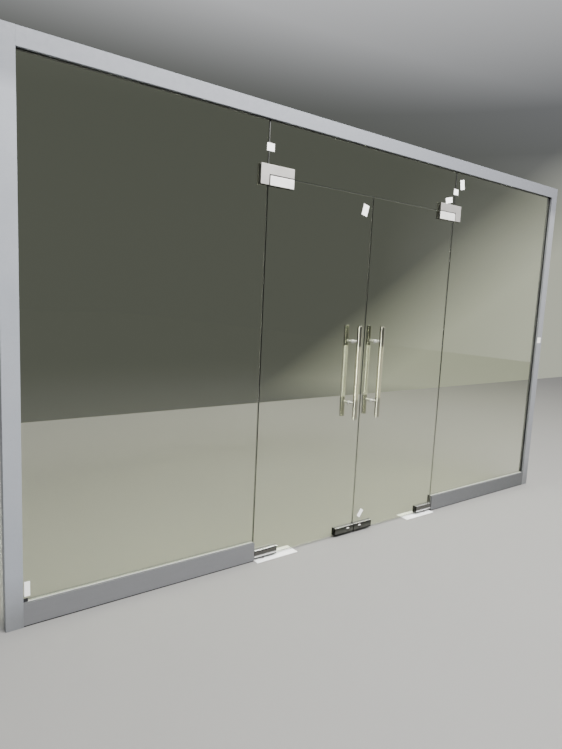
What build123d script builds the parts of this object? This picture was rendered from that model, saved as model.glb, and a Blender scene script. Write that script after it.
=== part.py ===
from build123d import *
import os

# A shop entrance in toughened glass: a box-section frame, two fixed side panes, an
# overpanel and a pair of double-action leaves on floor closers.
# Millimetres. Origin at the finished floor, on the centre line between the leaves, in the
# middle of the glass. +X to the right seen from outside, +Y into the room, +Z up.

# Frame
opening_width = 4180.0
jamb_face = 76.0
head_face = 80.0
sill_face = 116.0
frame_depth = 50.0
profile_wall = 2.0
profile_edge_r = 1.2
pocket_depth = 20.0
lip_depth = 15.0
bead_wall = 1.5
cleat_thickness = 3.0
cleat_leg = 60.0
sill_bed_height = 6.0
sill_bed_recess = 4.0
end_thickness = 1.5
end_cap_spigot = 8.0
end_cap_clearance = 0.3
anchor_hole_r = 5.0
access_hole_r = 8.0
jamb_anchors = 4
jamb_anchor_from_floor = 150.0
jamb_anchor_from_head = 114.0
head_anchor_first = 500.0
head_anchor_pitch = 1000.0

# Glass
glass_thickness = 12.0
glass_bite = 12.0
glass_arris = 1.0
setting_block_height = 6.0
setting_block_length = 100.0
setting_block_width = 16.0
gasket_bite = 10.0
joint_seal_recess = 1.0
corner_packer_width = 22.0
corner_packer_height = 16.0
leaf_width = 812.0
centre_gap = 4.0
side_gap = 5.0
floor_gap = 12.0
leaf_height = 2209.0
top_gap = 5.0
overpanel_sight = 288.0
notch_width = 100.0
notch_height = 30.0
notch_radius = 8.0
lock_notch_height = 42.0
side_notch_width = 30.0
side_notch_height = 60.0

# Patch fittings
patch_length = 165.0
patch_height = 52.0
patch_plate = 15.0
patch_setback = 1.0
patch_edge_radius = 2.0
pad_thickness = 1.0
insert_thickness = 30.0
insert_clearance = 1.0
transom_leg_width = 56.0
pivot_inset = 65.0
pivot_pin_r = 7.5
pivot_pin_rise = 22.0
pivot_pin_drop = 16.0
pivot_bush_r = 11.0
pivot_bush_length = 20.0
running_clearance = 0.05
seat_clearance = 0.3
screw_r = 4.0
screw_clearance = 0.2
screw_head_r = 6.5
screw_head_height = 5.0
screw_socket_r = 2.9
screw_socket_depth = 3.0
screw_thread_depth = 3.5
screw_tip_clearance = 0.5
patch_screw_inset = 9.0
patch_screw_pitch = 66.0
leg_screw_rise = 13.0

# Floor closers
cover_length = 300.0
cover_width = 110.0
cover_thickness = 2.5
cover_corner_r = 3.0
cover_pivot_inset = 62.0
cover_spindle_hole_r = 20.0
cover_screw_inset = 9.0
cover_screw_r = 2.5
cover_screw_head_r = 5.0
cover_screw_length = 12.0
tray_margin = 4.0
tray_wall = 1.5
tray_depth = 58.0
tray_tab_length = 14.0
tray_tab_width = 26.0
tray_tab_thickness = 5.0
closer_length = 252.0
closer_width = 74.0
closer_height = 40.0
closer_corner_r = 18.0
closer_foot_r = 9.0
closer_foot_height = 5.0
closer_foot_inset = 22.0
closer_collar_r = 24.0
closer_collar_height = 7.0
closer_lid_r = 30.0
closer_lid_inset = 60.0
closer_lid_height = 2.0
valve_r = 5.0
valve_pitch = 24.0
valve_proud = 2.0
spindle_r = 12.0
spindle_engagement = 30.0
spindle_shoulder_z = 8.0
spindle_head_length = 26.0
spindle_head_width = 14.0
spindle_head_rise = 20.0
spindle_head_clearance = 0.2

# Corner locks
cylinder_from_edge = 52.0
cylinder_rise = 28.0
cylinder_r = 11.0
cylinder_rim_r = 13.0
cylinder_rim_height = 1.5
cam_chamber = 10.0
cam_reach = 8.5
cam_width = 6.0
cam_side_clearance = 1.0
plug_r = 6.0
plug_proud = 0.8
keyway_width = 1.8
keyway_height = 8.0
keyway_depth = 12.0
bolt_from_edge = 29.0
bolt_r = 6.0
bolt_length = 34.0
bolt_setback = 1.0
bolt_tip_chamfer = 1.5
lock_screw_inset = 11.0
lock_screw_pitch = 76.0
lock_screw_rise = 21.0
socket_bore_r = 7.5
socket_sleeve_r = 11.0
socket_flange_r = 15.0
socket_flange_height = 2.0
socket_depth = 30.0

# Pull handles
pull_r = 16.0
pull_wall = 2.0
pull_length = 600.0
pull_end_radius = 1.5
pull_centre_height = 1109.0
pull_from_centre = 102.0
pull_standoff = 58.0
post_r = 8.0
post_pitch = 400.0
post_to_pull_gap = 0.02
washer_r = 12.0
washer_thickness = 1.5
stud_r = 4.0
stud_in_post = 18.0
pull_hole_r = 8.0
sleeve_clearance = 0.3

# Paper labels on the outer face, blank: how far the middle stands right of and above the
# corner it is measured from, then width, height and turn in degrees
label_thickness = 0.3
sill_label = (20.5, 60.0, 25.0, 72.0, 0.0)
left_joint_label = (12.0, 94.0, 50.0, 42.0, 0.0)
right_joint_label = (2.0, 96.0, 49.0, 40.0, 0.0)
over_patch_label = (2.5, 30.0, 73.0, 38.0, 14.0)
head_label = (68.0, -80.0, 45.0, 68.0, 11.0)
left_leaf_top_label = (-63.0, -87.0, 47.0, 69.0, -14.0)
right_leaf_low_label = (66.0, 112.5, 31.0, 57.0, -35.0)

# Values worked out from the ones above
half_opening = opening_width / 2
half_depth = frame_depth / 2
half_glass = glass_thickness / 2
lip_inner = half_depth - lip_depth
leaf_inner = centre_gap / 2
leaf_outer = leaf_inner + leaf_width
pane_inner = leaf_outer + side_gap
leaf_bottom = floor_gap
leaf_top = leaf_bottom + leaf_height
transom_bottom = leaf_top + top_gap
head_underside = transom_bottom + overpanel_sight
head_top = head_underside + head_face
jamb_anchor_pitch = (head_underside - jamb_anchor_from_floor - jamb_anchor_from_head) / (jamb_anchors - 1)
sill_end = pane_inner - end_thickness
pane_outer = half_opening + glass_bite
pane_top = head_underside + glass_bite
pane_bottom = sill_face - pocket_depth + setting_block_height
pivot_x = leaf_outer - pivot_inset
plate_in = half_glass + pad_thickness
plate_out = plate_in + patch_plate
half_insert = insert_thickness / 2
patch_end = leaf_outer - patch_setback
patch_start = patch_end - patch_length
transom_leg_end = pane_inner + transom_leg_width
transom_top = transom_bottom + patch_height
transom_leg_bottom = leaf_top - patch_height
cover_end = pivot_x + cover_pivot_inset
cover_start = cover_end - cover_length
closer_floor = -tray_depth + tray_wall
closer_bottom = closer_floor + closer_foot_height
closer_top = closer_bottom + closer_height
cylinder_x = leaf_inner + cylinder_from_edge
cylinder_z = leaf_bottom + cylinder_rise
bolt_x = leaf_inner + bolt_from_edge
pull_y = half_glass + pull_standoff
reach = 20.0


def block(x0, x1, y0, y1, z0, z1):
    size = Box(abs(x1 - x0), abs(y1 - y0), abs(z1 - z0))
    return Pos((x0 + x1) / 2, (y0 + y1) / 2, (z0 + z1) / 2) * size


def rod_x(y, z, x0, x1, r):
    return Pos((x0 + x1) / 2, y, z) * Rot(0, 90, 0) * Cylinder(r, abs(x1 - x0))


def rod_y(x, z, y0, y1, r):
    return Pos(x, (y0 + y1) / 2, z) * Rot(90, 0, 0) * Cylinder(r, abs(y1 - y0))


def rod_z(x, y, z0, z1, r):
    return Pos(x, y, (z0 + z1) / 2) * Cylinder(r, abs(z1 - z0))


def rounded_slab(x0, x1, z0, z1, half, r):
    # a slab across the glass, centred on it, with its four corners rounded
    outline = Plane.XZ * Pos((x0 + x1) / 2, (z0 + z1) / 2) * RectangleRounded(x1 - x0, z1 - z0, r)
    return extrude(outline, half, both=True)


def mirrored(solid):
    return mirror(solid, about=Plane.YZ)


def both_sides(solids):
    return [*solids, *[mirrored(s) for s in solids]]


def save(name, solids):
    if not isinstance(solids, list):
        solids = [solids]
    pieces = [s for group in solids for s in group.solids()]
    shape = pieces[0] if len(pieces) == 1 else Compound(children=pieces)
    export_step(shape, f"parts/{name}.step")


# Frame profiles
def profile_outline(face):
    outline = Pos(face / 2, 0) * Rectangle(face, frame_depth)
    return fillet(outline.vertices(), profile_edge_r)


def frame_profile(face):
    # u runs from the building towards the glass, v from outside to the room
    def area(u0, u1, v0, v1):
        return Pos((u0 + u1) / 2, (v0 + v1) / 2) * Rectangle(u1 - u0, v1 - v0)

    web = face - pocket_depth
    section = profile_outline(face) - area(web, face, -lip_inner, half_depth)
    section -= area(profile_wall, web - profile_wall,
                    -half_depth + profile_wall, half_depth - profile_wall)
    section -= area(web, face - profile_wall,
                    -half_depth + profile_wall, -lip_inner - profile_wall)
    return section


def bead_profile():
    section = Rectangle(pocket_depth, lip_depth)
    section -= Rectangle(pocket_depth - 2 * bead_wall, lip_depth - 2 * bead_wall)
    return Pos(pocket_depth / 2, lip_inner + lip_depth / 2) * section


def right_jamb():
    plane = Plane(origin=(half_opening + jamb_face, 0, 0), x_dir=(-1, 0, 0), z_dir=(0, 0, -1))
    jamb = extrude(plane * frame_profile(jamb_face), -head_top)
    wall_x = half_opening + jamb_face
    web_x = half_opening + pocket_depth
    for index in range(jamb_anchors):
        z = jamb_anchor_from_floor + index * jamb_anchor_pitch
        jamb -= rod_x(0, z, wall_x - reach, wall_x + reach, anchor_hole_r)
        jamb -= rod_x(0, z, web_x - reach, web_x + reach, access_hole_r)
    return jamb


def head_rail():
    plane = Plane(origin=(-half_opening, 0, head_top), x_dir=(0, 0, -1), z_dir=(1, 0, 0))
    rail = extrude(plane * frame_profile(head_face), opening_width)
    web_z = head_underside + pocket_depth
    for offset in (head_anchor_first, head_anchor_first + head_anchor_pitch):
        for x in (-offset, offset):
            rail -= rod_z(x, 0, head_top - reach, head_top + reach, anchor_hole_r)
            rail -= rod_z(x, 0, web_z - reach, web_z + reach, access_hole_r)
    return rail


def sill_plane(x):
    return Plane(origin=(x, 0, sill_bed_height), x_dir=(0, 0, 1), z_dir=(-1, 0, 0))


def sill_end_plate(y0, y1):
    plate = extrude(sill_plane(pane_inner) * profile_outline(sill_face - sill_bed_height), end_thickness)
    return plate & block(sill_end, pane_inner, y0, y1, 0, sill_face)


def right_sill():
    # the outer face folds round the end, as far in as the outer lip goes
    profile = sill_plane(half_opening) * frame_profile(sill_face - sill_bed_height)
    return extrude(profile, half_opening - pane_inner) + sill_end_plate(-half_depth, -lip_inner)


def glazing_beads():
    foot = half_opening + pocket_depth
    upright = Plane(origin=(foot, 0, 0), x_dir=(-1, 0, 0), z_dir=(0, 0, -1))
    jamb_bead = extrude(upright * bead_profile(), -head_top)
    top = Plane(origin=(-half_opening, 0, head_underside + pocket_depth), x_dir=(0, 0, -1), z_dir=(1, 0, 0))
    head_bead = extrude(top * bead_profile(), opening_width)
    low = Plane(origin=(half_opening, 0, sill_face - pocket_depth), x_dir=(0, 0, 1), z_dir=(-1, 0, 0))
    sill_bead = extrude(low * bead_profile(), half_opening - pane_inner)
    return [head_bead, *both_sides([jamb_bead, sill_bead])]


def corner_cleats():
    web = half_opening + pocket_depth
    half_width = setting_block_width / 2
    x0 = web - cleat_leg
    head_ceiling = head_top - profile_wall
    head_floor = head_underside + pocket_depth + profile_wall
    upper = block(x0, web, -half_width, half_width, head_ceiling - cleat_thickness, head_ceiling)
    upper += block(web - cleat_thickness, web, -half_width, half_width, head_floor, head_ceiling)
    sill_floor = sill_bed_height + profile_wall
    lower = block(x0, web, -half_width, half_width, sill_floor, sill_floor + cleat_thickness)
    lower += block(web - cleat_thickness, web, -half_width, half_width, sill_floor, cleat_leg)
    return both_sides([upper, lower])


def sill_end_caps():
    inner = half_depth - profile_wall - end_cap_clearance
    low = sill_bed_height + profile_wall + end_cap_clearance
    high = sill_face - pocket_depth - profile_wall - end_cap_clearance
    cap = sill_end_plate(-lip_inner, half_depth)
    cap += block(pane_inner, pane_inner + end_cap_spigot, -inner, inner, low, high)
    return both_sides([cap])


def sill_beds():
    half = half_depth - sill_bed_recess
    return both_sides([block(pane_inner, half_opening, -half, half, 0, sill_bed_height)])


# Fixed glass
def pane_notch():
    return rounded_slab(pane_inner - reach, pane_inner + side_notch_width,
                        transom_bottom + notch_height - side_notch_height,
                        transom_bottom + notch_height, half_glass + reach, notch_radius)


def right_pane():
    pane = block(pane_inner, pane_outer, -half_glass, half_glass, pane_bottom, pane_top)
    pane = chamfer(pane.edges().filter_by(Axis.Z).group_by(Axis.X)[0], glass_arris)
    return pane - pane_notch()


def overpanel():
    panel = block(-leaf_outer, leaf_outer, -half_glass, half_glass, transom_bottom, pane_top)
    panel = chamfer(panel.edges().filter_by(Axis.X).group_by(Axis.Z)[0], glass_arris)
    notch = rounded_slab(leaf_outer - notch_width, leaf_outer + reach, transom_bottom - reach,
                         transom_bottom + notch_height, half_glass + reach, notch_radius)
    return panel - notch - mirrored(notch)


def pane_gaskets():
    strips = []
    for side in (-1, 1):
        near, far = side * half_glass, side * lip_inner
        upright = block(half_opening, half_opening + gasket_bite, near, far, sill_face, head_underside)
        strips += both_sides([upright])
        strips.append(block(-half_opening, half_opening, near, far,
                            head_underside, head_underside + gasket_bite))
    return strips


def corner_packer():
    # a packer left standing on the left sill, against the outer face of the glass
    return block(-half_opening, corner_packer_width - half_opening, -lip_inner, -half_glass,
                 sill_face, sill_face + corner_packer_height)


def setting_blocks():
    blocks = []
    width = pane_outer - pane_inner
    low = sill_face - pocket_depth
    half_width = setting_block_width / 2
    for share in (0.25, 0.75):
        middle = pane_inner + width * share
        blocks.append(block(middle - setting_block_length / 2, middle + setting_block_length / 2,
                            -half_width, half_width, low, low + setting_block_height))
    return both_sides(blocks)


def pane_joint_seals():
    half = half_glass - joint_seal_recess
    low = transom_bottom + notch_height + insert_clearance
    seals = [block(leaf_outer, pane_inner, -half, half, low, pane_top)]
    for side in (-1, 1):
        seals.append(block(pane_inner, half_opening, side * half_glass, side * lip_inner,
                           sill_face - gasket_bite, sill_face))
    return both_sides(seals)


# Patch fittings: an insert fills the notch in the glass, two plates clamp over it
def patch_insert(x0, x1, z0, z1, trim):
    # trim is the part of the insert that stays, its open sides cut square
    slab = rounded_slab(x0, x1, z0, z1, half_insert, notch_radius - insert_clearance)
    return slab & trim


def cap_screw(x, z):
    head_seat = plate_out - screw_head_height
    tip = -half_insert - screw_thread_depth
    screw = rod_y(x, z, tip, head_seat, screw_r)
    screw += rod_y(x, z, head_seat, plate_out, screw_head_r)
    socket = Plane.XZ * Pos(x, z) * RegularPolygon(screw_socket_r, 6)
    socket = Pos(0, plate_out, 0) * extrude(socket, screw_socket_depth)
    return screw - socket


def screw_hole(x, z):
    head_seat = plate_out - screw_head_height
    tip = -half_insert - screw_thread_depth - screw_tip_clearance
    hole = rod_y(x, z, tip, head_seat, screw_r + screw_clearance)
    return hole + rod_y(x, z, head_seat, plate_out + reach, screw_head_r + screw_clearance)


def rounded_plate(outline, side):
    plate = Pos(0, side * plate_in, 0) * extrude(outline, -side * patch_plate)
    face = plate.faces().sort_by(Axis.Y)[0 if side < 0 else -1]
    return fillet(face.edges(), patch_edge_radius)


def patch_pair(outline, insert, cuts):
    plates = []
    pads = []
    for side in (-1, 1):
        plate = rounded_plate(outline, side) - insert
        pad = Pos(0, side * half_glass, 0) * extrude(outline, -side * pad_thickness) - insert
        for cut in cuts:
            plate -= cut
            pad -= cut
        plates.append(plate)
        pads.append(pad)
    return plates, pads


def area_xz(x0, x1, z0, z1):
    return Plane.XZ * Pos((x0 + x1) / 2, (z0 + z1) / 2) * Rectangle(x1 - x0, z1 - z0)


# Transom patch: an L plate pair that ties the overpanel to the side pane over the leaf
def transom_insert():
    z0, z1 = transom_bottom, transom_bottom + notch_height - insert_clearance
    x0 = leaf_outer - notch_width + insert_clearance
    x1 = pane_inner + side_notch_width - insert_clearance
    bar = patch_insert(x0, x1, z0 - reach, z1, block(x0, x1, -reach, reach, z0, z1))
    low = z1 - side_notch_height + 2 * insert_clearance
    leg_x = pane_inner + insert_clearance
    leg = patch_insert(leg_x - reach, x1, low, z1, block(leg_x, x1, -reach, reach, low, z1))
    return bar + leg


def transom_screw_places():
    z = transom_bottom + notch_height / 2
    first = leaf_outer - notch_width + patch_screw_inset
    leg_x = pane_inner + side_notch_width / 2
    leg_z = transom_bottom + notch_height - side_notch_height + leg_screw_rise
    return [(first, z), (first + patch_screw_pitch, z), (leg_x, leg_z)]


def transom_patch():
    outline = area_xz(patch_start, transom_leg_end, transom_bottom, transom_top)
    outline += area_xz(pane_inner, transom_leg_end, transom_leg_bottom, transom_top)
    insert = transom_insert()
    places = transom_screw_places()
    holes = [screw_hole(x, z) for x, z in places]
    plates, pads = patch_pair(outline, insert, holes)
    insert -= rod_z(pivot_x, 0, transom_bottom - reach, transom_bottom + pivot_pin_rise,
                    pivot_pin_r + running_clearance)
    for hole in holes:
        insert -= hole
    return plates, pads, insert, [cap_screw(x, z) for x, z in places]


def pivot_pin():
    return rod_z(pivot_x, 0, leaf_top - pivot_pin_drop, transom_bottom + pivot_pin_rise, pivot_pin_r)


# Leaf fittings
def corner_insert(top):
    x0, x1 = leaf_outer - notch_width + insert_clearance, patch_end
    if top:
        z0, z1 = leaf_top - notch_height + insert_clearance, leaf_top
        slab_z = (z0, z1 + reach)
    else:
        z0, z1 = leaf_bottom, leaf_bottom + notch_height - insert_clearance
        slab_z = (z0 - reach, z1)
    return patch_insert(x0, x1 + reach, *slab_z, block(x0, x1, -reach, reach, z0, z1))


def corner_patch(top):
    z0 = leaf_top - patch_height if top else leaf_bottom
    outline = area_xz(patch_start, patch_end, z0, z0 + patch_height)
    screw_z = leaf_top - notch_height / 2 if top else leaf_bottom + notch_height / 2
    first = leaf_outer - notch_width + patch_screw_inset
    places = [(first, screw_z), (first + patch_screw_pitch, screw_z)]
    insert = corner_insert(top)
    holes = [screw_hole(x, z) for x, z in places]
    plates, pads = patch_pair(outline, insert, holes)
    insert -= bush_hole() if top else spindle_socket()
    for hole in holes:
        insert -= hole
    return plates, pads, insert, [cap_screw(x, z) for x, z in places]


def bush_hole():
    return rod_z(pivot_x, 0, leaf_top - pivot_bush_length, leaf_top + reach, pivot_bush_r + running_clearance)


def pivot_bush():
    bush = rod_z(pivot_x, 0, leaf_top - pivot_bush_length, leaf_top, pivot_bush_r)
    low = leaf_top - pivot_pin_drop - seat_clearance
    return bush - rod_z(pivot_x, 0, low, leaf_top + reach, pivot_pin_r + running_clearance)


def spindle_socket():
    half_length = spindle_head_length / 2 + spindle_head_clearance
    half_width = spindle_head_width / 2 + spindle_head_clearance
    return block(pivot_x - half_length, pivot_x + half_length, -half_width, half_width,
                 leaf_bottom - reach, spindle_shoulder_z + spindle_head_rise)


def closer_spindle():
    low = closer_top - spindle_engagement
    shaft = rod_z(pivot_x, 0, low, spindle_shoulder_z, spindle_r)
    head = block(pivot_x - spindle_head_length / 2, pivot_x + spindle_head_length / 2,
                 -spindle_head_width / 2, spindle_head_width / 2,
                 spindle_shoulder_z, spindle_shoulder_z + spindle_head_rise)
    return shaft + head


def leaf_glass():
    glass = block(leaf_inner, leaf_outer, -half_glass, half_glass, leaf_bottom, leaf_top)
    glass = chamfer(glass.edges().filter_by(Axis.Z), glass_arris)
    half = half_glass + reach
    outer = (leaf_outer - notch_width, leaf_outer + reach)
    top = (leaf_top - notch_height, leaf_top + reach)
    low = (leaf_bottom - reach, leaf_bottom + notch_height)
    lock = (leaf_bottom - reach, leaf_bottom + lock_notch_height)
    glass -= rounded_slab(*outer, *top, half, notch_radius)
    glass -= rounded_slab(*outer, *low, half, notch_radius)
    glass -= rounded_slab(leaf_inner - reach, leaf_inner + notch_width, *lock, half, notch_radius)
    for z in post_heights():
        glass -= rod_y(pull_from_centre, z, -half, half, pull_hole_r)
    return glass


# Corner lock: a round cylinder turns a plug, which throws a bolt into the floor
def lock_screw_places():
    first = leaf_inner + lock_screw_inset
    z = leaf_bottom + lock_screw_rise
    return [(first, z), (first + lock_screw_pitch, z)]


def lock_cylinder():
    shell = rod_y(cylinder_x, cylinder_z, -plate_out, plate_out, cylinder_r)
    shell += rod_y(cylinder_x, cylinder_z, -plate_out - cylinder_rim_height, -plate_out, cylinder_rim_r)
    bore = plate_out + reach
    shell -= rod_y(cylinder_x, cylinder_z, -bore, bore, plug_r + running_clearance)
    chamber_r = cam_reach + cam_side_clearance
    half = cam_chamber / 2
    return shell - rod_y(cylinder_x, cylinder_z, -half, half, chamber_r)


def key_plug():
    front = plate_out + cylinder_rim_height + plug_proud
    back = plate_out + plug_proud
    plug = rod_y(cylinder_x, cylinder_z, -front, back, plug_r)
    half = cam_chamber / 2 - cam_side_clearance
    plug += block(cylinder_x - cam_width / 2, cylinder_x + cam_width / 2, -half, half,
                  cylinder_z, cylinder_z + cam_reach)
    for y0, y1 in ((-front - reach, -front + keyway_depth), (back - keyway_depth, back + reach)):
        plug -= block(cylinder_x - keyway_width / 2, cylinder_x + keyway_width / 2, y0, y1,
                      cylinder_z - keyway_height / 2, cylinder_z + keyway_height / 2)
    return plug


def lock_bolt():
    low = leaf_bottom + bolt_setback
    bolt = rod_z(bolt_x, 0, low, low + bolt_length, bolt_r)
    return chamfer(bolt.edges().group_by(Axis.Z)[0], bolt_tip_chamfer)


def corner_lock():
    x0, x1 = leaf_inner + patch_setback, leaf_inner + notch_width - insert_clearance
    z0, z1 = leaf_bottom, leaf_bottom + lock_notch_height - insert_clearance
    body = patch_insert(x0 - reach, x1, z0 - reach, z1, block(x0, x1, -reach, reach, z0, z1))
    outline = area_xz(x0, x0 + patch_length, z0, z0 + patch_height)
    places = lock_screw_places()
    cuts = [screw_hole(x, z) for x, z in places]
    cuts.append(rod_y(cylinder_x, cylinder_z, -plate_out - reach, plate_out + reach,
                      cylinder_r + running_clearance))
    plates, pads = patch_pair(outline, body, cuts)
    for cut in cuts:
        body -= cut
    bolt_top = leaf_bottom + bolt_setback + bolt_length + seat_clearance
    body -= rod_z(bolt_x, 0, leaf_bottom - reach, bolt_top, bolt_r + running_clearance)
    return plates, pads, body, [cap_screw(x, z) for x, z in places]


def floor_bolt_sockets():
    socket = rod_z(bolt_x, 0, -socket_depth, 0, socket_sleeve_r)
    socket += rod_z(bolt_x, 0, -socket_flange_height, 0, socket_flange_r)
    return both_sides([socket - rod_z(bolt_x, 0, -socket_depth - reach, reach, socket_bore_r)])


# Floor closer
def closer_cover():
    middle = (cover_start + cover_end) / 2
    cover = extrude(Pos(middle, 0) * RectangleRounded(cover_length, cover_width, cover_corner_r), cover_thickness)
    cover -= rod_z(pivot_x, 0, -reach, reach, cover_spindle_hole_r)
    for x in cover_screw_places():
        cover -= rod_z(x, 0, -reach, reach, cover_screw_r + screw_clearance)
        cover -= cover_screw_head(x, screw_clearance)
    return cover


def cover_screw_places():
    return [cover_start + cover_screw_inset, cover_end - cover_screw_inset]


def cover_screw_head(x, clearance):
    return Pos(x, 0, cover_thickness / 2) * Cone(cover_screw_r + clearance, cover_screw_head_r + clearance,
                                                 cover_thickness)


def closer_cover_screws():
    screws = []
    for x in cover_screw_places():
        screw = cover_screw_head(x, 0) + rod_z(x, 0, cover_thickness - cover_screw_length, 0, cover_screw_r)
        screws.append(screw)
    return both_sides(screws)


def closer_tray():
    x0, x1 = cover_start + tray_margin, cover_end - tray_margin
    half = cover_width / 2 - tray_margin
    tray = block(x0, x1, -half, half, -tray_depth, 0)
    tray -= block(x0 + tray_wall, x1 - tray_wall, -half + tray_wall, half - tray_wall,
                  closer_floor, reach)
    half_tab = tray_tab_width / 2
    for wall_x, inward in ((x0, 1), (x1, -1)):
        tray += block(wall_x, wall_x + inward * tray_tab_length, -half_tab, half_tab, -tray_tab_thickness, 0)
    for x in cover_screw_places():
        tray -= rod_z(x, 0, cover_thickness - cover_screw_length - screw_tip_clearance, reach,
                      cover_screw_r + screw_clearance)
    return tray


def closer_body():
    middle = (cover_start + cover_end) / 2
    body = Pos(middle, 0, closer_bottom) * extrude(
        RectangleRounded(closer_length, closer_width, closer_corner_r), closer_height)
    body = fillet(body.edges().group_by(Axis.Z)[-1], profile_wall)
    for sx in (-1, 1):
        for sy in (-1, 1):
            foot_x = middle + sx * (closer_length / 2 - closer_foot_inset)
            foot_y = sy * (closer_width / 2 - closer_foot_inset)
            body += rod_z(foot_x, foot_y, closer_floor, closer_bottom, closer_foot_r)
    body += rod_z(pivot_x, 0, closer_top, closer_top + closer_collar_height, closer_collar_r)
    lid_x = cover_start + closer_lid_inset
    body += rod_z(lid_x, 0, closer_top, closer_top + closer_lid_height, closer_lid_r)
    end_x = middle - closer_length / 2
    for y in (-valve_pitch / 2, valve_pitch / 2):
        body += rod_x(y, (closer_bottom + closer_top) / 2, end_x - valve_proud, end_x + reach, valve_r)
    low = closer_top - spindle_engagement - seat_clearance
    return body - rod_z(pivot_x, 0, low, reach, spindle_r + running_clearance)


# Pull handles
def post_heights():
    return [pull_centre_height - post_pitch / 2, pull_centre_height + post_pitch / 2]


def pull_bar(side):
    low, high = pull_centre_height - pull_length / 2, pull_centre_height + pull_length / 2
    bar = rod_z(pull_from_centre, side * pull_y, low, high, pull_r)
    bar = fillet(bar.edges().filter_by(GeomType.CIRCLE), pull_end_radius)
    return bar - rod_z(pull_from_centre, side * pull_y, low + pull_wall, high - pull_wall, pull_r - pull_wall)


def pull_posts():
    posts = []
    for side in (-1, 1):
        saddle = rod_z(pull_from_centre, side * pull_y, 0, head_underside, pull_r + post_to_pull_gap)
        near = half_glass + washer_thickness
        for z in post_heights():
            post = rod_y(pull_from_centre, z, side * near, side * pull_y, post_r) - saddle
            posts.append(post - pull_stud(z, running_clearance))
    return posts


def pull_stud(z, clearance):
    end = half_glass + washer_thickness + stud_in_post
    return rod_y(pull_from_centre, z, -end, end, stud_r + clearance)


def pull_washers():
    washers = []
    for z in post_heights():
        for side in (-1, 1):
            disc = rod_y(pull_from_centre, z, side * half_glass, side * (half_glass + washer_thickness), washer_r)
            disc += rod_y(pull_from_centre, z, side * seat_clearance, side * half_glass,
                          pull_hole_r - sleeve_clearance)
            washers.append(disc - pull_stud(z, running_clearance))
    return washers


def label(x, z, shape):
    right, above, width, height, turn = shape
    outline = Plane.XZ * Pos(x + right, z + above) * Rot(0, 0, turn) * Rectangle(width, height)
    return Pos(0, -half_glass, 0) * extrude(outline, label_thickness)


def pane_labels():
    return [
        label(-half_opening, sill_face, sill_label),
        label(-pane_inner, transom_top, left_joint_label),
        label(pane_inner, transom_top, right_joint_label),
        label(pivot_x, transom_top, over_patch_label),
        label(pane_inner, head_underside, head_label),
    ]


def save_leaf(side):
    def hand(solids):
        return solids if side == "right" else [mirrored(s) for s in solids]

    top_plates, top_pads, top_insert, top_screws = corner_patch(True)
    low_plates, low_pads, low_insert, low_screws = corner_patch(False)
    lock_plates, lock_pads, lock_body, lock_screws = corner_lock()
    studs = [pull_stud(z, 0) for z in post_heights()]
    nodes = {
        "leaf_glass": [leaf_glass()],
        "top_patch_plates": top_plates,
        "bottom_patch_plates": low_plates,
        "lock_case_plates": lock_plates,
        "patch_inserts": [top_insert, low_insert, lock_body],
        "patch_pads": top_pads + low_pads + lock_pads,
        "patch_screws": top_screws + low_screws + lock_screws,
        "pivot_bush": [pivot_bush()],
        "closer_spindle": [closer_spindle()],
        "outer_pull": [pull_bar(-1)],
        "inner_pull": [pull_bar(1)],
        "pull_posts": pull_posts() + studs,
        "pull_washers": pull_washers(),
        "lock_cylinder": [lock_cylinder()],
        "key_plug": [key_plug()],
        "lock_bolt": [lock_bolt()],
    }
    for name, solids in nodes.items():
        save(f"{side}_{name}", hand(solids))


def save_frame():
    jamb = right_jamb()
    sill = right_sill()
    pane = right_pane()
    plates, pads, insert, screws = transom_patch()
    save("right_jamb", jamb)
    save("left_jamb", mirrored(jamb))
    save("head_rail", head_rail())
    save("right_sill", sill)
    save("left_sill", mirrored(sill))
    save("corner_cleats", corner_cleats())
    save("glazing_beads", glazing_beads())
    save("pane_gaskets", [*pane_gaskets(), corner_packer()])
    save("setting_blocks", setting_blocks())
    save("sill_caps_and_beds", [*sill_end_caps(), *sill_beds()])
    save("right_pane", pane)
    save("left_pane", mirrored(pane))
    save("overpanel", overpanel())
    save("pane_joint_seals", pane_joint_seals())
    save("pane_labels", pane_labels())
    save("transom_patches_outer", both_sides([plates[0]]))
    save("transom_patches_inner", both_sides([plates[1]]))
    save("transom_patch_inserts", both_sides([insert]))
    save("transom_patch_pads", both_sides(pads))
    save("transom_patch_screws", both_sides(screws))
    save("top_pivot_pins", both_sides([pivot_pin()]))
    save("closer_trays", both_sides([closer_tray()]))
    save("closer_bodies", both_sides([closer_body()]))
    save("closer_covers", both_sides([closer_cover()]))
    save("closer_cover_screws", closer_cover_screws())
    save("floor_bolt_sockets", floor_bolt_sockets())


os.makedirs("parts", exist_ok=True)
save_frame()
save_leaf("left")
save_leaf("right")
save("left_leaf_label", label(-leaf_inner, leaf_top, left_leaf_top_label))
save("right_leaf_label", label(leaf_inner, leaf_bottom, right_leaf_low_label))
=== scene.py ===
import bmesh
import bpy
from mathutils import Matrix, Vector


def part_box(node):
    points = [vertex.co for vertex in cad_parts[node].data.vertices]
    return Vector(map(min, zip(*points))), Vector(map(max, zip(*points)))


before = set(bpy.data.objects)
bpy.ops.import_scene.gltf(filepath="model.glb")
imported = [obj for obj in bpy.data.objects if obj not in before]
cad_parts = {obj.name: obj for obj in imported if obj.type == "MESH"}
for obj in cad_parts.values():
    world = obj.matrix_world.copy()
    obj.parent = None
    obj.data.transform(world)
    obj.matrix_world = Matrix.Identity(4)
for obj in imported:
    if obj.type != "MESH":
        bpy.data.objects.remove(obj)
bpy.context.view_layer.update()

print("frame loaded:", len(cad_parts), "nodes")

# Between these two values a noise goes from the darkest patches of a finish to the palest
midBand = (0.3, 0.7)


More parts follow.
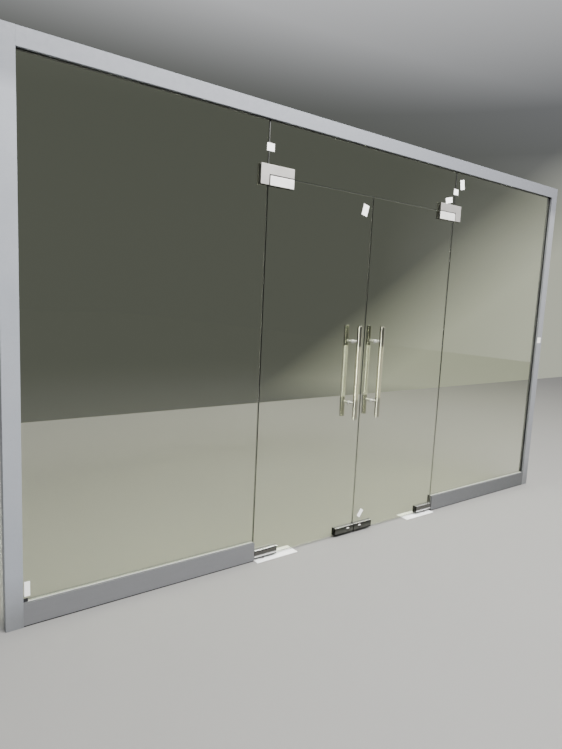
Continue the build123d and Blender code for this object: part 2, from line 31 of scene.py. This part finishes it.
# Node helpers shared by all the finishes
def startFinish(name):
    finish = bpy.data.materials.new(name)
    finish.use_nodes = True
    tree = finish.node_tree
    tree.nodes.clear()
    output = tree.nodes.new("ShaderNodeOutputMaterial")
    shader = tree.nodes.new("ShaderNodeBsdfPrincipled")
    tree.links.new(shader.outputs["BSDF"], output.inputs["Surface"])
    return finish, tree, shader


def objectPlace(tree, scale=(1, 1, 1)):
    coord = tree.nodes.new("ShaderNodeTexCoord")
    mapping = tree.nodes.new("ShaderNodeMapping")
    mapping.inputs["Scale"].default_value = scale
    tree.links.new(coord.outputs["Object"], mapping.inputs["Vector"])
    return mapping.outputs["Vector"]


def split(tree, vector):
    node = tree.nodes.new("ShaderNodeSeparateXYZ")
    tree.links.new(vector, node.inputs["Vector"])
    return node.outputs


def facingParts(tree):
    coord = tree.nodes.new("ShaderNodeTexCoord")
    return split(tree, coord.outputs["Normal"])


def noise(tree, place, scale, detail, rough=0.5):
    tex = tree.nodes.new("ShaderNodeTexNoise")
    tex.inputs["Scale"].default_value = scale
    tex.inputs["Detail"].default_value = detail
    tex.inputs["Roughness"].default_value = rough
    tree.links.new(place, tex.inputs["Vector"])
    return tex.outputs["Fac"]


def spread(tree, value, low, high, toLow=0.0, toHigh=1.0):
    node = tree.nodes.new("ShaderNodeMapRange")
    node.inputs["From Min"].default_value = low
    node.inputs["From Max"].default_value = high
    node.inputs["To Min"].default_value = toLow
    node.inputs["To Max"].default_value = toHigh
    tree.links.new(value, node.inputs["Value"])
    return node.outputs["Result"]


def calc(tree, operation, first, second=0.0):
    node = tree.nodes.new("ShaderNodeMath")
    node.operation = operation
    for socket, value in zip(node.inputs, (first, second)):
        if isinstance(value, (int, float)):
            socket.default_value = value
        else:
            tree.links.new(value, socket)
    return node.outputs[0]


def blendColour(tree, factor, first, second):
    node = tree.nodes.new("ShaderNodeMix")
    node.data_type = "RGBA"
    # The colour sockets of this node are its seventh and eighth inputs and its third output
    for socket, colour in ((node.inputs[6], first), (node.inputs[7], second)):
        if isinstance(colour, tuple):
            socket.default_value = (*colour, 1.0)
        else:
            tree.links.new(colour, socket)
    tree.links.new(factor, node.inputs["Factor"])
    return node.outputs[2]


def times(colour, share):
    return tuple(part * share for part in colour)


def mottled(tree, pattern, colour, share):
    return blendColour(tree, spread(tree, pattern, *midBand), times(colour, share), colour)


def setColour(tree, shader, colour):
    tree.links.new(colour, shader.inputs["Base Color"])


def setRoughness(tree, shader, pattern, limits):
    tree.links.new(spread(tree, pattern, *midBand, *limits), shader.inputs["Roughness"])


def setEven(shader, **values):
    sockets = {"metallic": "Metallic", "roughness": "Roughness", "specular": "Specular IOR Level"}
    for name, value in values.items():
        shader.inputs[sockets[name]].default_value = value


def addBump(tree, shader, height, strength, distance):
    bump = tree.nodes.new("ShaderNodeBump")
    bump.inputs["Strength"].default_value = strength
    bump.inputs["Distance"].default_value = distance
    tree.links.new(height, bump.inputs["Height"])
    tree.links.new(bump.outputs["Normal"], shader.inputs["Normal"])


# Frame: light grey satin powder coat with a fine grain, with painted shade making it darker on
# the head and to the right, dusty near the floor, with a blank paper label left on the right
# jamb. Spans and rises are metres in X and Z, patterns are noise scale and detail, bands are
# noise values.
framePaint = {
    "grey": (0.245, 0.262, 0.293),
    "paler": (0.275, 0.291, 0.322),
    "cloud": (2.2, 5.0),
    "cloudBand": (0.35, 0.65),
    # Painted shade: darker to the right, and darker again on the head, deepest at its right end
    "rightShadeTone": (0.165, 0.171, 0.183),
    "rightShadeSpan": (0.6, 2.1),
    "headShadeTone": (0.156, 0.167, 0.192),
    "headShadeEnd": (0.100, 0.104, 0.116),
    "headShadeSpan": (-0.4, 2.1),
    "headShadeRise": (2.34, 2.42),
    "speckTone": (0.190, 0.200, 0.223),
    "speck": (420.0, 2.0),
    "speckBand": (0.56, 0.72),
    "speckShare": (0.0, 0.55),
    "dustTone": (0.105, 0.108, 0.110),
    "dustFall": (0.26, 0.04),
    "dust": (7.0, 6.0),
    "dustWander": (0.7, 1.0),
    "dustShare": 0.9,
    "paperTone": (0.62, 0.62, 0.60),
    "paperFacing": (-0.5, -0.9),
    "paperEdge": 0.001,
    "paperSpan": (2.094, 2.146),
    "paperRise": (1.284, 1.331),
    "grain": (60.0, 4.0),
    "roughness": (0.40, 0.54),
    "specular": 0.45,
    "peel": (1100.0, 2.0),
    "peelBump": (0.3, 0.00006),
}


def paperMask(tree, where):
    look = framePaint
    edge = look["paperEdge"]
    mask = spread(tree, facingParts(tree)["Y"], *look["paperFacing"])
    for axis, (low, high) in (("X", look["paperSpan"]), ("Z", look["paperRise"])):
        mask = calc(tree, "MULTIPLY", mask, spread(tree, where[axis], low - edge, low))
        mask = calc(tree, "MULTIPLY", mask, spread(tree, where[axis], high + edge, high))
    return mask


def addPeel(tree, shader, place):
    peel = noise(tree, place, *framePaint["peel"])
    addBump(tree, shader, peel, *framePaint["peelBump"])


def makeFramePaint():
    look = framePaint
    finish, tree, shader = startFinish("framePaint")
    place = objectPlace(tree)
    where = split(tree, place)
    cloud = spread(tree, noise(tree, place, *look["cloud"]), *look["cloudBand"])
    tone = blendColour(tree, cloud, look["grey"], look["paler"])
    # Painted shade to the right and on the head
    toRight = spread(tree, where["X"], *look["rightShadeSpan"])
    tone = blendColour(tree, toRight, tone, look["rightShadeTone"])
    alongHead = spread(tree, where["X"], *look["headShadeSpan"])
    headShadeTone = blendColour(tree, alongHead, look["headShadeTone"], look["headShadeEnd"])
    tone = blendColour(tree, spread(tree, where["Z"], *look["headShadeRise"]), tone, headShadeTone)
    speck = noise(tree, place, *look["speck"])
    speck = spread(tree, speck, *look["speckBand"], *look["speckShare"])
    tone = blendColour(tree, speck, tone, look["speckTone"])
    wander = spread(tree, noise(tree, place, *look["dust"]), *midBand, *look["dustWander"])
    dust = calc(tree, "MULTIPLY", spread(tree, where["Z"], *look["dustFall"]), wander)
    dust = calc(tree, "MULTIPLY", dust, look["dustShare"])
    tone = blendColour(tree, dust, tone, look["dustTone"])
    setColour(tree, shader, blendColour(tree, paperMask(tree, where), tone, look["paperTone"]))
    setRoughness(tree, shader, noise(tree, place, *look["grain"]), look["roughness"])
    setEven(shader, specular=look["specular"])
    addPeel(tree, shader, place)
    return finish


# Sills: the same paint, darker as painted shade, most to the right and on the top faces, with
# streaks of street dirt
sillPaint = {
    "left": (0.134, 0.136, 0.143),
    "right": (0.074, 0.076, 0.078),
    "span": (-0.5, 2.1),
    "topTone": (0.085, 0.087, 0.09),
    "topFacing": (0.35, 0.8),
    "streakScale": (6.0, 6.0, 45.0),
    "streak": (1.0, 5.0),
    "streakBand": (0.35, 0.7),
    "streakShare": (0.0, 0.15),
    "grain": (45.0, 4.0),
    "roughness": (0.60, 0.74),
    "specular": 0.15,
}


def makeSillPaint():
    look = sillPaint
    finish, tree, shader = startFinish("sillPaint")
    place = objectPlace(tree)
    # Painted shade: the sill darkens to the right, with real dirt streaks added next
    along = spread(tree, split(tree, place)["X"], *look["span"])
    dirt = blendColour(tree, along, look["left"], look["right"])
    streak = noise(tree, objectPlace(tree, look["streakScale"]), *look["streak"])
    streak = spread(tree, streak, *look["streakBand"], *look["streakShare"])
    dirt = blendColour(tree, streak, dirt, framePaint["dustTone"])
    # Painted shade on the faces turned up towards the lamp
    upward = spread(tree, facingParts(tree)["Z"], *look["topFacing"])
    setColour(tree, shader, blendColour(tree, upward, dirt, look["topTone"]))
    setRoughness(tree, shader, noise(tree, place, *look["grain"]), look["roughness"])
    setEven(shader, specular=look["specular"])
    addPeel(tree, shader, place)
    return finish


# Glass: clear toughened with faint smears, nearly black inside its cut edges. It lets lamp
# light through as a tinted shadow.
glassLook = {
    "face": (0.86, 0.88, 0.75),
    "edge": (0.00003, 0.00006, 0.00004),
    "faceFrom": (0.8, 0.95),
    "letThrough": (0.54, 0.56, 0.49),
    "ior": 1.5,
    "smearScale": (1.4, 1.4, 5.0),
    "smear": (2.0, 6.0, 0.6),
    "smearBand": (0.5, 0.8),
    "roughness": (0.0, 0.035),
    "edgeRoughness": 0.22,
}


def makeGlass():
    look = glassLook
    finish, tree, shader = startFinish("clearGlass")
    facing = calc(tree, "ABSOLUTE", facingParts(tree)["Y"])
    onFace = spread(tree, facing, *look["faceFrom"])
    setColour(tree, shader, blendColour(tree, onFace, look["edge"], look["face"]))
    smear = noise(tree, objectPlace(tree, look["smearScale"]), *look["smear"])
    smear = spread(tree, smear, *look["smearBand"], *look["roughness"])
    cut = spread(tree, onFace, 1.0, 0.0, 0.0, look["edgeRoughness"])
    tree.links.new(calc(tree, "MAXIMUM", smear, cut), shader.inputs["Roughness"])
    shader.inputs["Transmission Weight"].default_value = 1.0
    shader.inputs["IOR"].default_value = look["ior"]
    path = tree.nodes.new("ShaderNodeLightPath")
    clear = tree.nodes.new("ShaderNodeBsdfTransparent")
    clear.inputs["Color"].default_value = (*look["letThrough"], 1.0)
    mix = tree.nodes.new("ShaderNodeMixShader")
    output = next(node for node in tree.nodes if node.type == "OUTPUT_MATERIAL")
    tree.links.new(path.outputs["Is Shadow Ray"], mix.inputs[0])
    tree.links.new(shader.outputs["BSDF"], mix.inputs[1])
    tree.links.new(clear.outputs["BSDF"], mix.inputs[2])
    tree.links.new(mix.outputs["Shader"], output.inputs["Surface"])
    return finish


# Grain of the metals: fine lines, wide clouds and shallow grooves
metalGrain = {
    "lines": (1.0, 2.0, 0.6),
    "clouds": (18.0, 4.0),
    "darker": 0.90,
    "bump": (0.25, 0.000008),
}

# Metals: one recipe, with the grain running along the axis of the smallest scale
metalSet = {
    # name: colour, roughness from and to, grain, share of bare metal
    # shadedSteel is a darker copy of the satin plate steel, as painted shade, for the inner
    # patches
    "shadedSteel": ((0.30, 0.295, 0.28), (0.34, 0.44), (1500.0, 1500.0, 60.0), 0.9),
    "coverSteel": ((0.93, 0.94, 0.95), (0.36, 0.46), (40.0, 1500.0, 1500.0), 0.05),
    "brightSteel": ((0.88, 0.88, 0.86), (0.14, 0.22), (700.0, 700.0, 700.0), 0.75),
    "castMetal": ((0.10, 0.10, 0.105), (0.45, 0.6), (160.0, 160.0, 160.0), 0.9),
    "traySteel": ((0.45, 0.46, 0.47), (0.4, 0.55), (80.0, 80.0, 80.0), 0.9),
    "bushBrass": ((0.72, 0.55, 0.26), (0.25, 0.35), (900.0, 900.0, 60.0), 1.0),
    "cleatAluminium": ((0.72, 0.72, 0.74), (0.35, 0.5), (20.0, 500.0, 500.0), 0.9),
}


def makeMetal(name):
    colour, roughness, grain, bare = metalSet[name]
    finish, tree, shader = startFinish(name)
    lines = noise(tree, objectPlace(tree, grain), *metalGrain["lines"])
    clouds = noise(tree, objectPlace(tree), *metalGrain["clouds"])
    setColour(tree, shader, mottled(tree, clouds, colour, metalGrain["darker"]))
    setEven(shader, metallic=bare)
    setRoughness(tree, shader, lines, roughness)
    addBump(tree, shader, lines, *metalGrain["bump"])
    return finish


# Patch plates: painted shade on the cut sides and a painted highlight on the top edges. The
# polished low plates and the lock plates also have a dark face, as a painted reflection of dark
# surroundings, and above a painted shadow at the foot a brighter band, a painted reflection of
# the cover in the floor. The heights of the band are metres above the floor.
plateSet = {
    "satinPlate": {
        "face": (0.36, 0.35, 0.335), "sides": (0.045, 0.045, 0.04), "top": (0.45, 0.44, 0.42),
        "roughness": (0.34, 0.44), "grain": (1500.0, 1500.0, 60.0), "bare": 0.5,
    },
    "filmedPlate": {
        "face": (0.74, 0.735, 0.72), "sides": (0.045, 0.045, 0.04), "top": (0.74, 0.735, 0.72),
        "roughness": (0.34, 0.46), "grain": (60.0, 1500.0, 1500.0), "bare": 0.25,
    },
    # The dark faces of the polished and lock plates are a painted reflection of dark surroundings
    "polishedPlate": {
        "face": (0.13, 0.128, 0.122), "sides": (0.02, 0.02, 0.018), "top": (0.92, 0.92, 0.90),
        "roughness": (0.12, 0.20), "grain": (60.0, 1500.0, 1500.0), "bare": 0.85,
        "foot": (0.02, 0.02, 0.018), "reflectedBand": (0.90, 0.89, 0.90),
        "reflectedBandRise": (0.021, 0.030), "reflectedBandFade": 0.001,
    },
    "lockPlate": {
        "face": (0.050, 0.052, 0.045), "sides": (0.012, 0.012, 0.011), "top": (0.92, 0.92, 0.90),
        "roughness": (0.12, 0.20), "grain": (60.0, 1500.0, 1500.0), "bare": 0.9,
        "foot": (0.028, 0.028, 0.025), "reflectedBand": (0.12, 0.122, 0.112),
        "reflectedBandRise": (0.021, 0.036), "reflectedBandFade": 0.016,
    },
}
plateShading = {
    "darker": 0.88,
    "footFade": 0.001,
    "sideFacing": (0.7, 0.25),
    "topFacing": (0.25, 0.6),
}


def addReflectedBand(tree, look, height, tone):
    low, high = look["reflectedBandRise"]
    below = spread(tree, height, high + look["reflectedBandFade"], high)
    tone = blendColour(tree, below, tone, look["reflectedBand"])
    inShadowFoot = spread(tree, height, low, low - plateShading["footFade"])
    return blendColour(tree, inShadowFoot, tone, look["foot"])


def makePlate(name):
    look = plateSet[name]
    finish, tree, shader = startFinish(name)
    place = objectPlace(tree)
    facing = facingParts(tree)
    lines = noise(tree, objectPlace(tree, look["grain"]), *metalGrain["lines"])
    clouds = noise(tree, place, *metalGrain["clouds"])
    tone = mottled(tree, clouds, look["face"], plateShading["darker"])
    # Painted reflection of the cover as a brighter band, with a painted shadow at the foot below
    # it
    if "reflectedBand" in look:
        tone = addReflectedBand(tree, look, split(tree, place)["Z"], tone)
    # Painted shade on the cut sides
    sideways = calc(tree, "ABSOLUTE", facing["Y"])
    sideways = spread(tree, sideways, *plateShading["sideFacing"])
    tone = blendColour(tree, sideways, tone, look["sides"])
    # Painted highlight on the top edges
    upward = spread(tree, facing["Z"], *plateShading["topFacing"])
    setColour(tree, shader, blendColour(tree, upward, tone, look["top"]))
    setEven(shader, metallic=look["bare"])
    setRoughness(tree, shader, lines, look["roughness"])
    addBump(tree, shader, lines, *metalGrain["bump"])
    return finish


# Lock cylinders: a painted highlight on the upper half, where light from above falls, and painted
# shade below
cylinderLook = {
    "lit": (0.95, 0.95, 0.94),
    "shaded": (0.035, 0.035, 0.032),
    "change": (0.042, 0.046),
    "bare": 0.5,
    "roughness": 0.22,
}


def makeCylinderSteel():
    look = cylinderLook
    finish, tree, shader = startFinish("cylinderSteel")
    lit = spread(tree, split(tree, objectPlace(tree))["Z"], *look["change"])
    setColour(tree, shader, blendColour(tree, lit, look["shaded"], look["lit"]))
    setEven(shader, metallic=look["bare"], roughness=look["roughness"])
    return finish


# Pull bars: satin grip in the middle, polished towards both ends, the outer bars warmer. The
# polished ends are painted dark, as a painted reflection of dark surroundings, and the inner bars
# behind the glass are a paler, cooler lit copy of the same steel, as painted light.
pullSet = {
    # name: satin colour, polished colour
    "outerPull": ((0.72, 0.712, 0.48), (0.37, 0.37, 0.29)),
    # Painted light: the inner bars are paler to make up for the tinted glass in front of them
    "innerPull": ((0.95, 0.945, 0.89), (0.44, 0.44, 0.41)),
}
pullFinish = {
    "satinHalf": 0.170,
    "edge": 0.0015,
    "roughness": (0.22, 0.07),
    "bare": (0.85, 1.0),
    "grain": (1200.0, 1200.0, 50.0),
    "lines": (1.0, 3.0),
    "darker": 0.88,
    "bump": (0.25, 0.000006),
}


def makePullSteel(name):
    satin, polished = pullSet[name]
    look = pullFinish
    finish, tree, shader = startFinish(name)
    low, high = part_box("left_outer_pull")
    middle = (low.z + high.z) / 2
    height = split(tree, objectPlace(tree))["Z"]
    away = calc(tree, "ABSOLUTE", calc(tree, "SUBTRACT", height, middle))
    half, edge = look["satinHalf"], look["edge"]
    atEnd = spread(tree, away, half - edge, half + edge)
    lines = noise(tree, objectPlace(tree, look["grain"]), *look["lines"])
    grip = mottled(tree, lines, satin, look["darker"])
    setColour(tree, shader, blendColour(tree, atEnd, grip, polished))
    for socket, ends in (("Roughness", look["roughness"]), ("Metallic", look["bare"])):
        tree.links.new(spread(tree, atEnd, 0.0, 1.0, *ends), shader.inputs[socket])
    addBump(tree, shader, lines, *look["bump"])
    return finish


# Rubber, plastic, paper, bead paint darkened as painted shade, and the iron of the closers
softSet = {
    # name: colour, roughness, scale of the mottle, bump depth, specular level, darker share
    "closerIron": ((0.10, 0.10, 0.105), 0.5, 220.0, 0.0003, 0.5, 0.8),
    "gasketRubber": ((0.022, 0.022, 0.025), 0.6, 160.0, 0.0001, 0.3, 0.8),
    # The caps are black plastic, made near-black partly as painted shade on the shaded sill ends
    "capPlastic": ((0.006, 0.006, 0.007), 0.6, 400.0, 0.00008, 0.05, 0.8),
    # The beads are the frame's paint made much darker, as painted shade
    "beadShadedPaint": ((0.11, 0.11, 0.125), 0.5, 60.0, 0.00005, 0.4, 0.8),
    "labelPaper": ((0.94, 0.945, 0.94), 0.75, 90.0, 0.00008, 0.2, 0.96),
    "washerNylon": ((0.70, 0.70, 0.68), 0.45, 200.0, 0.00005, 0.3, 0.8),
    "fibrePad": ((0.05, 0.05, 0.05), 0.8, 500.0, 0.0001, 0.3, 0.8),
}
softGrain = {
    "detail": 4.0,
    "roughnessHalf": 0.08,
    "bumpStrength": 0.4,
}


def makeSoft(name):
    colour, roughness, scale, depth, specular, darker = softSet[name]
    half = softGrain["roughnessHalf"]
    finish, tree, shader = startFinish(name)
    mottle = noise(tree, objectPlace(tree), scale, softGrain["detail"])
    setColour(tree, shader, mottled(tree, mottle, colour, darker))
    setRoughness(tree, shader, mottle, (roughness - half, roughness + half))
    setEven(shader, specular=specular)
    addBump(tree, shader, mottle, softGrain["bumpStrength"], depth)
    return finish


# Silicone: pale and dusty where it lies on the sills, darker in the upright joints
siliconeLook = {
    "low": (0.60, 0.61, 0.60),
    "high": (0.025, 0.027, 0.024),
    "change": (0.6, 1.2),
    "ripple": (60.0, 4.0),
    "dirtBand": (0.55, 0.75),
    "dirtShare": (0.0, 0.4),
    "roughness": 0.38,
    "bump": (0.4, 0.0002),
}


def makeSilicone():
    look = siliconeLook
    finish, tree, shader = startFinish("silicone")
    place = objectPlace(tree)
    height = spread(tree, split(tree, place)["Z"], *look["change"])
    tone = blendColour(tree, height, look["low"], look["high"])
    ripple = noise(tree, place, *look["ripple"])
    dirt = spread(tree, ripple, *look["dirtBand"], *look["dirtShare"])
    setColour(tree, shader, blendColour(tree, dirt, tone, framePaint["dustTone"]))
    setEven(shader, roughness=look["roughness"])
    addBump(tree, shader, ripple, *look["bump"])
    return finish


finishes = {
    "framePaint": makeFramePaint(),
    "sillPaint": makeSillPaint(),
    "silicone": makeSilicone(),
    "glass": makeGlass(),
    "cylinderSteel": makeCylinderSteel(),
}
for make, names in ((makeSoft, softSet), (makeMetal, metalSet), (makePlate, plateSet),
                    (makePullSteel, pullSet)):
    finishes.update({name: make(name) for name in names})
print("finishes made:", len(finishes))

# Which finish each of the carried-over nodes takes. Those of the leaves and those in pairs
# also have left_ or right_ before these names.
nodeFinish = {
    "framePaint": ["left_jamb", "right_jamb", "head_rail"],
    "sillPaint": ["left_sill", "right_sill"],
    "beadShadedPaint": ["glazing_beads"],
    "cleatAluminium": ["corner_cleats"],
    "gasketRubber": ["pane_gaskets", "setting_blocks"],
    "capPlastic": ["sill_caps_and_beds"],
    "glass": ["left_pane", "right_pane", "overpanel", "leaf_glass"],
    "silicone": ["pane_joint_seals"],
    "labelPaper": ["pane_labels", "leaf_label"],
    "satinPlate": ["transom_patches_outer"],
    "shadedSteel": ["transom_patches_inner"],
    "filmedPlate": ["top_patch_plates"],
    "coverSteel": ["closer_covers"],
    "polishedPlate": ["bottom_patch_plates"],
    "lockPlate": ["lock_case_plates"],
    "cylinderSteel": ["lock_cylinder", "key_plug"],
    "brightSteel": ["pull_posts", "closer_cover_screws", "transom_patch_screws", "patch_screws",
                    "top_pivot_pins", "closer_spindle", "lock_bolt", "floor_bolt_sockets"],
    "outerPull": ["outer_pull"],
    "innerPull": ["inner_pull"],
    "castMetal": ["transom_patch_inserts", "patch_inserts"],
    "traySteel": ["closer_trays"],
    "closerIron": ["closer_bodies"],
    "bushBrass": ["pivot_bush"],
    "washerNylon": ["pull_washers"],
    "fibrePad": ["transom_patch_pads", "patch_pads"],
}


def dressNodes():
    for finishName, bases in nodeFinish.items():
        for name in (side + base for base in bases for side in ("", "left_", "right_")):
            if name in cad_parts:
                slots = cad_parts[name].data.materials
                slots.clear()
                slots.append(finishes[finishName])


dressNodes()
print("nodes dressed")

# Floor: plain and matt, just under the part. It ends 4.25 m behind the door, where the floor
# of the room seems to end in the photo.
floorLook = {
    "from": (-40.0, -40.0),
    "to": (14.0, 4.25),
    "drop": 0.0006,
    "colour": (0.205, 0.203, 0.198),
    "paler": 1.05,
    "clouds": (0.8, 3.0),
    "roughness": 0.9,
}


def makeFloor():
    look = floorLook
    mesh = bpy.data.meshes.new("studioFloor")
    shape = bmesh.new()
    (x0, y0), (x1, y1) = look["from"], look["to"]
    corners = ((x0, y0), (x1, y0), (x1, y1), (x0, y1))
    shape.faces.new([shape.verts.new((x, y, -look["drop"])) for x, y in corners])
    shape.to_mesh(mesh)
    shape.free()
    floor = bpy.data.objects.new("studioFloor", mesh)
    bpy.context.scene.collection.objects.link(floor)
    finish, tree, shader = startFinish("studioFloor")
    clouds = noise(tree, objectPlace(tree), *look["clouds"])
    paler = times(look["colour"], look["paler"])
    setColour(tree, shader, blendColour(tree, clouds, look["colour"], paler))
    setEven(shader, roughness=look["roughness"], specular=0.0)
    mesh.materials.append(finish)


# Lamps: broad and soft from above, a narrow one at the left that only gives the metal its
# highlights, and one that lights the floor behind the glass at the right
lampSet = {
    # name: place, aim, width, height, watts, colour
    "topLamp": ((1.0, -3.7, 5.4), (1.0, 0.0, 1.1), 6.4, 2.2, 1380.0, (1.0, 0.99, 0.975)),
    "sideLamp": ((-3.3, -0.85, 1.08), (0.0, 0.0, 1.0), 0.17, 2.1, 68.0, (0.98, 1.0, 0.92)),
    "roomLamp": ((4.3, 3.0, 6.0), (3.6, 1.8, 0.0), 4.6, 3.0, 260.0, (0.99, 1.0, 0.76)),
}


def makeLamps():
    for name, (place, aim, width, height, watts, colour) in lampSet.items():
        light = bpy.data.lights.new(name, "AREA")
        light.shape = "RECTANGLE"
        light.size = width
        light.size_y = height
        light.energy = watts
        light.color = colour
        lamp = bpy.data.objects.new(name, light)
        lamp.location = place
        lamp.rotation_mode = "QUATERNION"
        lamp.rotation_quaternion = (Vector(aim) - Vector(place)).to_track_quat("-Z", "Y")
        lamp.visible_diffuse = name != "sideLamp"
        bpy.context.scene.collection.objects.link(lamp)


# Surround, by direction: bright overhead and to the right, shaded above the front, and dim
# behind the door as a room is. Its lit part lies on the side that litTurn points to, above the
# directions in litDown. Rises are heights of the direction, from -1 straight down to 1.
surroundSet = {
    "room": (0.096, 0.101, 0.090),
    "roomLit": (0.50, 0.515, 0.42),
    "litTurn": (0.433, -0.499, -0.751),
    "litFrom": (-0.05, 0.08),
    "litDown": (-0.18, -0.135),
    "roomSlope": 0.38,
    "roomEdge": (-0.02, 0.14),
    "roomFront": (0.05, -0.15),
    "frontDim": (0.185, 0.187, 0.190),
    "frontBright": (1.3, 1.3, 1.27),
    "frontRight": (0.72, 0.92),
    "canopyTone": (0.16, 0.165, 0.17),
    "canopyRise": (0.10, 0.24),
    "overhead": (1.25, 1.26, 1.28),
    "overheadRise": (0.3, 0.7),
}


def makeWorld():
    look = surroundSet
    world = bpy.data.worlds.new("studioWorld")
    world.use_nodes = True
    tree = world.node_tree
    coord = tree.nodes.new("ShaderNodeTexCoord")
    way = split(tree, coord.outputs["Generated"])
    toRight = spread(tree, way["X"], *look["frontRight"])
    front = blendColour(tree, toRight, look["frontDim"], look["frontBright"])
    atCanopy = spread(tree, way["Z"], *look["canopyRise"])
    front = blendColour(tree, atCanopy, front, look["canopyTone"])
    outside = blendColour(tree, spread(tree, way["Z"], *look["overheadRise"]), front,
                          look["overhead"])
    roofLine = calc(tree, "MULTIPLY", way["Y"], look["roomSlope"])
    aboveRoom = spread(tree, calc(tree, "SUBTRACT", way["Z"], roofLine), *look["roomEdge"])
    clear = calc(tree, "MAXIMUM", aboveRoom, spread(tree, way["Y"], *look["roomFront"]))
    turn = zip("XYZ", look["litTurn"])
    parts = [calc(tree, "MULTIPLY", way[axis], share) for axis, share in turn]
    sideward = calc(tree, "ADD", calc(tree, "ADD", parts[0], parts[1]), parts[2])
    lit = calc(tree, "MULTIPLY", spread(tree, sideward, *look["litFrom"]),
               spread(tree, way["Z"], *look["litDown"]))
    room = blendColour(tree, lit, look["room"], look["roomLit"])
    colour = blendColour(tree, clear, room, outside)
    tree.links.new(colour, tree.nodes["Background"].inputs["Color"])
    bpy.context.scene.world = world


# The camera stands where the photo was taken, found from the lines of the frame. Angles are
# radians, the place is metres, and the focal length is pixels on the photo's longer side.
cameraSet = {
    "place": (-2.6232, -2.6218, 1.5501),
    "pitch": -0.13183,
    "roll": -0.04718,
    "yaw": -0.64222,
    "focalPixels": 560.32,
    "framePixels": 749.0,
    "sensor": 36.0,
}


def makeCamera():
    look = cameraSet
    yaw = Matrix.Rotation(look["yaw"], 3, "Z")
    pitch = Matrix.Rotation(look["pitch"], 3, "X")
    roll = Matrix.Rotation(look["roll"], 3, "Y")
    right, forward, up = (yaw @ pitch @ roll).col
    facing = Matrix((right, up, -forward)).transposed()
    data = bpy.data.cameras.new("photoCamera")
    data.sensor_width = look["sensor"]
    data.lens = look["sensor"] * look["focalPixels"] / look["framePixels"]
    camera = bpy.data.objects.new("photoCamera", data)
    camera.matrix_world = Matrix.Translation(Vector(look["place"])) @ facing.to_4x4()
    bpy.context.scene.collection.objects.link(camera)
    bpy.context.scene.camera = camera


makeFloor()
makeLamps()
makeWorld()
makeCamera()
print("floor, lamps and camera set")
